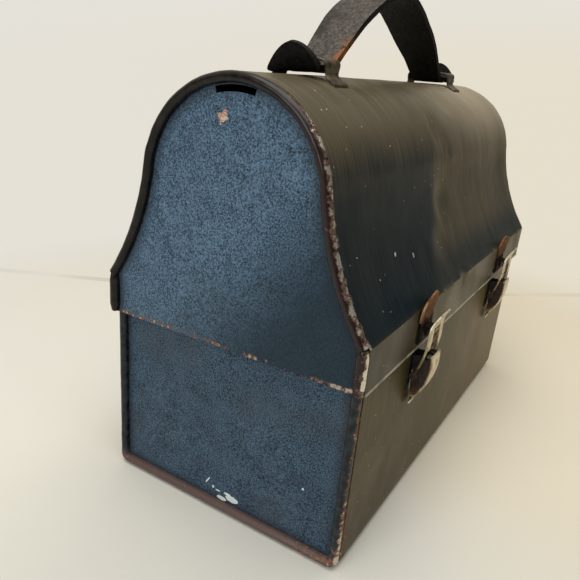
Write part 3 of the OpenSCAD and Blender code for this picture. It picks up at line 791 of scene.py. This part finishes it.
bpy.ops.mesh.primitive_grid_add(x_subdivisions=46, y_subdivisions=58, size=0.1,
                                rotation=(0, math.pi / 2, 0), location=(-0.1205, 0, 0.047))
body_panel_left = begin("body_panel_left")
stretch(1, 1.17, 0.91)
rumple(45, 0.9, 0.6)
rumple(10, 0.12)
modify("SOLIDIFY", thickness=sheet_thickness, offset=0)
settle(body_panel_left, "root", "navy_enamel", body_navy)
mirrored(body_panel_left, "body_panel_right", "root", "navy_enamel")


# ---- body rims ----
# The body's end seams are rolled into the same bead, down the front, along the
# bottom and up the back, worn to brown primer where the box stands and slides.

body_rim_enamel, tree, shader, mm = finish_called("body_rim_enamel")
x, y, z = parts_of(tree, mm)
depth = maths(tree, "MINIMUM", minus(tree, wall_out, size_of(tree, y)), z)
streak = noise(tree, mm, 0.3, 4.0)
navy = blend(tree, ramp(tree, streak, 0.35, 0.65), (0.005, 0.007, 0.009), (0.022, 0.028, 0.034))
bottom = ramp(tree, z, 9.0, 4.0)
navy = blend(tree, times(tree, bottom, 0.8), navy, (0.130, 0.080, 0.070))
front = ramp(tree, y, -30.0, -55.0)
outer = ramp(tree, depth, 1.7, 0.1)
low = ramp(tree, z, 45.0, 4.0)
wear = plus(tree, times(tree, outer, plus(tree, 0.18, times(tree, front, 0.30))), times(tree, bottom, 0.22),
            times(tree, front, low, 0.30))
paint = use(tree, worn_paint, Vector=mm, Paint=navy, Rust=(0.180, 0.072, 0.034), Bare=(0.60, 0.53, 0.42),
            Wear=wear, Gloss=0.26, Grain=0.4)
plug(tree, shader, Base_Color=paint["Color"], Roughness=paint["Roughness"], Metallic=paint["Metallic"],
     Specular_IOR_Level=0.3, Normal=relief(tree, plus(tree, paint["Height"], streak), 0.5, 0.25))

bpy.ops.mesh.primitive_circle_add(vertices=16, radius=rim_radius, location=(-0.1214, -0.05775, 0.093))
body_rim_left = begin("body_rim_left")
stretch(1.14, 0.88, 1)
move(0, -0.2, 0)
grow(0, 0, -88, 44)
sweep(-55, 5, 90, 8)
grow(0, 55, 0, 28)
double_over()
rumple(7, 0.3)
settle(body_rim_left, "root", "navy_enamel", body_rim_enamel, "body_end_left", angle=60)
mirrored(body_rim_left, "body_rim_right", "root", "navy_enamel", "body_end_right")


# ---- strap handle ----
# One strip of thick black leather, humped up between the loops. It is dry and
# rubbed grey-brown on its outer face, with painted shade on the far half and the near end stop, and its ends
# are round stops that curl up.

def ribbon(name, across, rows, columns, about=0.0):
    """A sheet drawn row by row: a line of points across X or Y is extruded from
    place to place and widened or narrowed. A row is (other way, height, half width)."""
    turned = across == "Y"
    bpy.ops.mesh.primitive_grid_add(x_subdivisions=columns, y_subdivisions=1, size=0.002,
                                    rotation=(0, 0, math.pi / 2 if turned else 0))
    made = begin(name)
    other = 0 if turned else 1
    pick(lambda p: p[other] > 0)
    bpy.ops.mesh.delete(type="VERT")
    pick_all()
    place = [0.0, 0.0, rows[0][1]]
    place[other] = rows[0][0]
    place[1 - other] = about
    step = [0.0, 0.0, rows[0][1]]
    step[other] = rows[0][0] + 1
    step[1 - other] = about
    move(*step)
    wide = rows[0][2]
    stretch(1 if turned else wide, wide if turned else 1, 1, place)
    for last, row in zip(rows, rows[1:]):
        step = [0.0, 0.0, row[1] - last[1]]
        step[other] = row[0] - last[0]
        grow(*step)
        wide = row[2] / last[2]
        stretch(1 if turned else wide, wide if turned else 1, 1,
                (0 if turned else about, about if turned else 0, 0))
    return made


strap_leather, tree, shader, mm = finish_called("strap_leather")
x, y, z = parts_of(tree, mm)
pores = put(tree, "TexVoronoi", feature="F1", Vector=mm, Scale=1.1).outputs["Distance"]
hide = noise(tree, mm, 0.5, 5.0, 0.65)
upwards = parts_of(tree, put(tree, "TexCoord").outputs["Normal"])[2]
rubbed_and_shaded_face = times(tree, ramp(tree, upwards, 0.15, 0.5),
                  ramp(tree, noise(tree, mm, 0.06, 3.0), 0.3, 0.6, 0.45, 1.0))
# Painted shade: the rubbed grey fades on the far half and is left off the near end stop, which stay near
# black as in shade.
rubbed_and_shaded_face = times(tree, rubbed_and_shaded_face, ramp(tree, x, 20.0, -20.0, 0.25, 1.0))
rubbed_and_shaded_face = times(tree, rubbed_and_shaded_face, ramp(tree, x, -86.0, -80.0))
brown = blend(tree, ramp(tree, hide, 0.35, 0.65), (0.0030, 0.0028, 0.0026), (0.0110, 0.0095, 0.0080))
grey = blend(tree, ramp(tree, plus(tree, hide, times(tree, pores, 0.25)), 0.45, 0.85),
             (0.008, 0.006, 0.005), (0.110, 0.092, 0.078))
leather = blend(tree, rubbed_and_shaded_face, brown, grey)
scuff = times(tree, ramp(tree, z, 207.0, 195.0), ramp(tree, x, -50.0, -60.0), ramp(tree, x, -80.0, -74.0))
scuff = times(tree, scuff, ramp(tree, y, -4.6, -7.4), ramp(tree, noise(tree, mm, 0.35, 4.0), 0.36, 0.50))
leather = blend(tree, scuff, leather, (0.200, 0.072, 0.018))
plug(tree, shader, Base_Color=leather, Roughness=ramp(tree, hide, 0.3, 0.7, 0.48, 0.72),
     Specular_IOR_Level=ramp(tree, rubbed_and_shaded_face, 0.2, 0.8, 0.10, 0.35),
     Normal=relief(tree, plus(tree, times(tree, pores, -0.6), hide), 0.6, 0.35))

points = [(-90.5, 197.5), (-88.8, 191.6), (-85.2, 188.5), (-77, 188.3), (-69.5, 188.8), (-58, 198.2),
          (-44, 209.6), (-26, 218.6), (-6, 223), (12, 220), (33, 210.6), (54, 199.2), (69.5, 188.8),
          (77, 188.3), (85.2, 188.5), (88.8, 191.6), (90.5, 197.5)]
walk = []
for i in range(len(points) - 1):
    a, b, c, d = (Vector(points[min(max(i + k, 0), len(points) - 1)]) for k in (-1, 0, 1, 2))
    for u in (0, 0.14, 0.28, 0.43, 0.57, 0.71, 0.86):
        bow = (2 * a - 5 * b + 4 * c - d) * u * u + (3 * b - a - 3 * c + d) * u ** 3
        walk.append(0.5 * (2 * b + (c - a) * u + bow))
walk.append(Vector(points[-1]))
run = [0.0]
for a, b in zip(walk, walk[1:]):
    run.append(run[-1] + (b - a).length)
rows = []
widest, narrowest = 11.4, 8.25
crown_end, neck_end = 40, 83.2
for point, gone in zip(walk, run):
    from_tip = min(gone, run[-1] - gone)
    tip = math.sqrt(max(0.5, widest ** 2 - max(0.0, widest - from_tip) ** 2))
    out = abs(point.x)
    if out < crown_end:
        plan = widest - 0.5 * (out / crown_end)
    elif out < neck_end:
        plan = 10.9 - 2.65 * min(1, (out - crown_end) / 28)
    else:
        plan = narrowest + 3.15 * min(1, (out - neck_end) / 3.0)
    rows.append((point.x, point.y, min(tip, plan)))
strap = ribbon("strap", "Y", rows, 8)
modify("SOLIDIFY", thickness=0.0026, offset=0)
modify("BEVEL", width=0.0005, segments=2, limit_method="ANGLE", angle_limit=0.8)
modify("SUBSURF", levels=1)
dent((-89, 8, 192), (0.5, 0, -3.2), 11)
dent((89, -8, 192), (-0.5, 0, -2.0), 10)
rumple(14, 0.5)
rumple(4, 0.18)
settle(strap, "strap", "strap_leather", strap_leather, "handle_strap", angle=50)


# ---- strap loops ----
# Bent steel staples pushed down through slits in the lid and spread inside,
# necked in at both legs, plated once and now dull brown.

loop_steel, tree, shader, mm = finish_called("loop_steel")
x, y, z = parts_of(tree, mm)
stain = noise(tree, mm, 0.22, 5.0, 0.6)
scratch = use(tree, streaks, Vector=mm, Across=2.2, Along=0.15)["Mask"]
dull = blend(tree, ramp(tree, stain, 0.35, 0.65), (0.038, 0.027, 0.015), (0.150, 0.118, 0.070))
paint = use(tree, worn_paint, Vector=mm, Paint=dull, Rust=(0.060, 0.040, 0.028), Bare=(0.42, 0.38, 0.30),
            Wear=ramp(tree, z, 186.5, 183.0, 0.12, 0.42), Gloss=0.40, Grain=0.6)
plug(tree, shader, Base_Color=paint["Color"], Roughness=paint["Roughness"], Metallic=0.55,
     Normal=relief(tree, plus(tree, scratch, stain), 0.3, 0.15))

rows = [(0.01, 191.7, 6.8), (5, 191.75, 6.8), (10.2, 191.7, 6.8), (11.5, 191.1, 6.75), (12, 189.7, 6.4),
        (11.9, 188, 5.7), (11.8, 186.4, 5.25), (12.5, 185.1, 5.35), (13.8, 184.1, 5.7), (15.1, 183.4, 6.0),
        (16.3, 182.7, 6.0), (16.5, 181.3, 5.9), (15.6, 181.2, 5.6), (11, 183, 5.4)]
loop_left = ribbon("loop_left", "X", rows, 8, -loop_place)
pick(lambda p: p.y < 0.5)
stretch(1, 0, 1, (0, 0, 0))
double_over()
modify("SOLIDIFY", thickness=plate_thickness, offset=0)
modify("BEVEL", width=0.0002, segments=2, limit_method="ANGLE", angle_limit=0.9)
modify("SUBSURF", levels=1)
settle(loop_left, "lid", "loop_steel", loop_steel, "handle_loop_left", angle=45)
mirrored(loop_left, "loop_right", "lid", "loop_steel", "handle_loop_right")


# ---- latch catches ----
# A rounded steel plate riveted to each side of the lid's front, standing off it,
# with a small hooked nose below. Rust has taken the top; the foot is painted near black as shade.

latch_place = 66.0
rusty_plate, tree, shader, mm = finish_called("rusty_plate")
x, y, z = parts_of(tree, mm)
bloom = noise(tree, mm, 0.30, 5.0, 0.65)
crust = noise(tree, mm, 1.4, 3.0)
rust = blend(tree, ramp(tree, bloom, 0.32, 0.68), (0.085, 0.036, 0.017), (0.330, 0.160, 0.066))
# Painted shade: the foot under the link is painted near black.
foot = ramp(tree, plus(tree, z, times(tree, bloom, 8.0)), 101.0, 97.0)
rust = blend(tree, foot, rust, (0.012, 0.010, 0.008))
beside = ramp(tree, size_of(tree, minus(tree, size_of(tree, x), latch_place)), 8.3, 9.2)
rust = blend(tree, times(tree, beside, ramp(tree, crust, 0.4, 0.6, 0.2, 0.8)), rust, (0.38, 0.26, 0.17))
plug(tree, shader, Base_Color=rust, Roughness=ramp(tree, bloom, 0.3, 0.7, 0.60, 0.9),
     Specular_IOR_Level=0.08, Normal=relief(tree, plus(tree, bloom, crust), 0.5, 0.3))

rows = [(-62.25, 84.5, 7.6), (-62.25, 88, 7.8), (-62.25, 92, 7.8), (-62.25, 94.6, 7.8), (-62.3, 95.5, 8.2),
        (-62.45, 96.4, 9.2), (-62.7, 98.6, 9.3), (-62.95, 100.2, 9.3), (-63.2, 101.7, 8.9),
        (-63.4, 103.0, 8.0), (-63.5, 104.0, 6.5), (-63.6, 104.6, 4.8), (-63.65, 104.9, 3.0)]
catch_left = ribbon("catch_left_plate", "X", rows, 10, -latch_place)
pick(lambda p: p.z > 95.2)
bpy.ops.transform.rotate(value=math.radians(14), orient_axis="Y", center_override=(-0.068, -0.0625, 0.0955))
modify("SOLIDIFY", thickness=plate_thickness, offset=0)
modify("BEVEL", width=0.0002, segments=2, limit_method="ANGLE", angle_limit=0.9)
rumple(6, 0.25)
nose = ribbon("catch_nose", "X",
              [(-62.5, 91.4, 3.2), (-64.3, 91.4, 3.2), (-65.2, 90.8, 3.2), (-65.5, 89.6, 3.1),
               (-65.5, 88.4, 2.9)], 4, -latch_place)
modify("SOLIDIFY", thickness=plate_thickness, offset=0)
only(catch_left, nose)
bpy.ops.object.join()
settle(catch_left, "lid", "rusty_plate", rusty_plate, "catch_left", angle=45)
mirrored(catch_left, "catch_right_plate", "lid", "rusty_plate", "catch_right")


# ---- latch links ----
# The frame that hooks over the catch: two legs on the lever's pin and a plate
# with two openings that flares out at the top. Nickel plated, yellowed and worn.

# Old nickel: creamy bright plating, brown stains and a dark tint low down.
old_nickel, takes, gives = group_called(
    "old_nickel", [("Vector", "Vector", None), ("Stain", "Float", 0.3)],
    [("Color", "Color"), ("Roughness", "Float"), ("Height", "Float")])
blotch = noise(old_nickel, takes["Vector"], 0.35, 5.0, 0.62)
drawn = use(old_nickel, streaks, Vector=takes["Vector"], Across=1.6, Along=0.12)["Mask"]
film = plus(old_nickel, takes["Stain"], times(old_nickel, blotch, 0.8), times(old_nickel, drawn, 0.6))
bright = blend(old_nickel, ramp(old_nickel, film, 0.72, 1.0), (0.70, 0.61, 0.42), (0.30, 0.205, 0.105))
old_nickel.links.new(blend(old_nickel, ramp(old_nickel, film, 1.02, 1.14), bright, (0.085, 0.042, 0.020)),
                     gives["Color"])
old_nickel.links.new(ramp(old_nickel, film, 0.7, 1.15, 0.34, 0.68), gives["Roughness"])
old_nickel.links.new(plus(old_nickel, blotch, times(old_nickel, drawn, 0.4)), gives["Height"])

link_nickel, tree, shader, mm = finish_called("link_nickel")
x, y, z = parts_of(tree, mm)
aside = size_of(tree, minus(tree, size_of(tree, x), latch_place))
bridge = times(tree, ramp(tree, aside, 4.8, 4.1), ramp(tree, z, 90.0, 88.4))
stain = plus(tree, ramp(tree, z, 84.0, 78.0, 0.08, 0.28), ramp(tree, z, 76.0, 71.5, 0.0, 0.45))
plate = use(tree, old_nickel, Vector=mm, Stain=plus(tree, stain, times(tree, bridge, 0.35)))
plug(tree, shader, Base_Color=plate["Color"], Roughness=plate["Roughness"], Metallic=0.45,
     Normal=relief(tree, plate["Height"], 0.4, 0.2))

rows = [(-63.2, 70.5, 8.7), (-64.1, 73, 8.7), (-65.2, 76, 8.7), (-65.9, 79, 8.7), (-66.35, 81, 8.7),
        (-66.55, 82.4, 8.7), (-66.75, 83.8, 8.7), (-66.85, 85.3, 8.7), (-66.9, 86.9, 8.7),
        (-66.92, 88.4, 8.7), (-66.95, 90.3, 8.7), (-67.0, 92.3, 8.6), (-67.15, 93.3, 8.2),
        (-67.5, 94.6, 7.2), (-68.2, 96, 6.2), (-69.0, 97.5, 5.4), (-69.9, 98.9, 4.8)]
link_left = ribbon("link_left_plate", "X", rows, 12, -latch_place)
pick(lambda p: abs(p.x + latch_place) < 7.2 and p.z < 82.2, "FACE")
bpy.ops.mesh.delete(type="FACE")
pick(lambda p: abs(p.x + latch_place) < 4.3 and (83.9 < p.z < 86.8 or 88.5 < p.z < 92.0), "FACE")
bpy.ops.mesh.delete(type="FACE")
modify("SOLIDIFY", thickness=0.0009, offset=0)
modify("BEVEL", width=0.00018, segments=2, limit_method="ANGLE", angle_limit=0.9)
modify("SUBSURF", levels=1)
rumple(5, 0.25)
eyes = []
for side in (-1, 1):
    eye_x = -latch_place / 1000 + side * 0.008
    bpy.ops.mesh.primitive_cylinder_add(
        vertices=28, radius=0.0016, depth=0.0013, rotation=(0, math.pi / 2, 0),
        location=(eye_x, -0.0632, 0.0705))
    eyes.append(begin("link_eye"))
    modify("BEVEL", width=0.0002, segments=2, limit_method="ANGLE")
only(link_left, *eyes)
bpy.ops.object.join()
settle(link_left, "link_left", "worn_nickel", link_nickel, "latch_link_left", angle=45)
mirrored(link_left, "link_right_plate", "link_right", "worn_nickel", "latch_link_right")


# ---- latch levers ----
# A stamped trough that turns on the base: a bowed bright front, two side walls
# dark with rust and painted shade, and a dished finger tip with a bright rolled edge.

lever_nickel, tree, shader, mm = finish_called("lever_nickel")
x, y, z = parts_of(tree, mm)
aside = size_of(tree, minus(tree, size_of(tree, x), latch_place))
plate = use(tree, old_nickel, Vector=mm, Stain=ramp(tree, aside, 3.5, 6.6, 0.05, 0.30))
tooth = noise(tree, mm, 0.7, 4.0, 0.6)
# Rust and painted shade: the side walls are painted near black, partly rust and partly the shade they stand
# in.
rusty_shaded_flank = ramp(tree, plus(tree, aside, times(tree, tooth, 0.9)), 6.95, 7.1)
rusty_shaded_flank = times(tree, rusty_shaded_flank, ramp(tree, z, 57.0, 59.0))
dark = blend(tree, ramp(tree, tooth, 0.45, 0.7), (0.010, 0.007, 0.005), (0.060, 0.026, 0.012))
dish = times(tree, ramp(tree, z, 61.5, 59.0), ramp(tree, aside, 3.8, 2.2))
dish = times(tree, dish, ramp(tree, z, 54.8, 56.2))
tip = blend(tree, times(tree, dish, 0.8), plate["Color"], (0.150, 0.080, 0.035))
dark = blend(tree, ramp(tree, plus(tree, z, times(tree, tooth, 6.0)), 70.0, 62.0, 0.0, 0.8), dark,
             (0.120, 0.050, 0.018))
dark = blend(tree, ramp(tree, plus(tree, y, times(tree, tooth, 0.8)), -62.0, -61.6), dark, (0.46, 0.38, 0.25))
plug(tree, shader, Base_Color=blend(tree, rusty_shaded_flank, tip, dark),
     Roughness=plus(tree, plate["Roughness"], times(tree, rusty_shaded_flank, 0.25)),
     Metallic=minus(tree, 0.45, times(tree, rusty_shaded_flank, 0.4)), Normal=relief(tree, plate["Height"], 0.4, 0.2))

rows = [(-68.25, 80, 6.8), (-68.65, 78.5, 6.9), (-68.85, 77, 6.9), (-68.9, 75, 6.9), (-68.75, 73, 6.9),
        (-68.45, 70.8, 6.9), (-68.0, 68.5, 6.9), (-67.3, 66.2, 6.85), (-66.35, 63.8, 6.6),
        (-65.2, 61.6, 6.1), (-64.0, 59.6, 5.7), (-62.95, 57.9, 5.4), (-62.2, 56.4, 5.2), (-61.8, 55.2, 4.6),
        (-61.7, 54.5, 3.6), (-61.7, 54.0, 2.2)]


def flank_at(height):
    """How far out the trough's edge is, a little less than its half width."""
    return 6.87 if height > 66.3 else 6.82 - (66.3 - height) * 0.17


lever_left = ribbon("lever_left_trough", "X", rows, 10, -latch_place)
for side in (-1, 1):
    pick(lambda p: p.z > 58.5 and side * (p.x + latch_place) > flank_at(p.z))
    grow(0, 3, 0)
    stretch(1, 0, 1, (0, -61.5, 0))
pick(lambda p: p.y > -61.6 and p.z > 73)
move(0, -2.1, 0)
pick(lambda p: abs(p.x + latch_place) < 2.6 and 55.5 < p.z < 60.5)
move(0, 0.45, 0)
pick(lambda p: abs(p.x + latch_place) < 4.4 and p.z > 60.5)
move(0, -0.3, 0)
modify("BEVEL", width=0.0008, segments=2, limit_method="ANGLE", angle_limit=0.9)
modify("SOLIDIFY", thickness=0.0007, offset=0)
modify("SUBSURF", levels=1)
rumple(5, 0.2)
settle(lever_left, "lever_left", "worn_nickel", lever_nickel, "latch_lever_left", angle=50)
mirrored(lever_left, "lever_right_trough", "lever_right", "worn_nickel", "latch_lever_right")


# ---- latch bases, rivets and pins ----
# Black enamelled plates riveted to the body with two ears for the lever's pin.
# The shapes are the frame's own; here they get worn black paint and old steel.

hardware_black, tree, shader, mm = finish_called("hardware_black")
soot = noise(tree, mm, 0.5, 4.0)
paint = use(tree, worn_paint, Vector=mm,
            Paint=blend(tree, soot, (0.004, 0.004, 0.004), (0.016, 0.014, 0.012)),
            Rust=(0.060, 0.028, 0.014), Bare=(0.30, 0.26, 0.20), Wear=0.16, Gloss=0.45, Grain=0.8)
plug(tree, shader, Base_Color=paint["Color"], Roughness=paint["Roughness"], Metallic=paint["Metallic"],
     Normal=relief(tree, plus(tree, paint["Height"], soot), 0.4, 0.15))

hardware_rust, tree, shader, mm = finish_called("hardware_rust")
soot = noise(tree, mm, 0.6, 4.0)
plug(tree, shader,
     Base_Color=blend(tree, ramp(tree, soot, 0.35, 0.65), (0.012, 0.008, 0.006), (0.060, 0.030, 0.016)),
     Roughness=0.6, Metallic=0.2, Normal=relief(tree, soot, 0.4, 0.2))

hardware_steel, tree, shader, mm = finish_called("hardware_steel")
soot = noise(tree, mm, 0.6, 4.0)
plug(tree, shader,
     Base_Color=blend(tree, ramp(tree, soot, 0.4, 0.65), (0.36, 0.34, 0.30), (0.14, 0.10, 0.07)),
     Roughness=ramp(tree, soot, 0.3, 0.7, 0.30, 0.55), Metallic=0.8, Normal=relief(tree, soot, 0.3, 0.1))


def dress(finish, *names):
    """Gives frame nodes this finish."""
    for name in names:
        node = frame["nodes"][name]
        node.data.materials.clear()
        node.data.materials.append(finish)


dress(hardware_black, "latch_base_left", "latch_base_right", "latch_base_rivets")
dress(hardware_rust, "catch_rivets", "link_pin_left", "link_pin_right")
dress(hardware_steel, "lever_pin_left", "lever_pin_right")


# ---- hinges ----
# Two butt hinges on the back, pressed steel leaves rolled round a wire pin,
# riveted on and enamelled with the box.

dress(hardware_black, "hinge_body_leaf_left", "hinge_body_leaf_right", "hinge_lid_leaf_left",
      "hinge_lid_leaf_right", "hinge_rivets_body", "hinge_rivets_lid")
dress(hardware_steel, "hinge_pin_left", "hinge_pin_right")


# ---- bottle bail ----
# A wire that swings in two lugs inside the lid and snaps into a clip to hold a
# bottle in the dome. Zinc plated, dulled to grey.

bail_zinc, tree, shader, mm = finish_called("bail_zinc")
frost = noise(tree, mm, 0.4, 4.0)
plug(tree, shader,
     Base_Color=blend(tree, ramp(tree, frost, 0.35, 0.65), (0.30, 0.31, 0.31), (0.46, 0.46, 0.44)),
     Roughness=ramp(tree, frost, 0.3, 0.7, 0.35, 0.55), Metallic=0.85, Normal=relief(tree, frost, 0.3, 0.1))
dress(bail_zinc, "bottle_bail", "bail_lug_left", "bail_lug_right", "bail_clip")
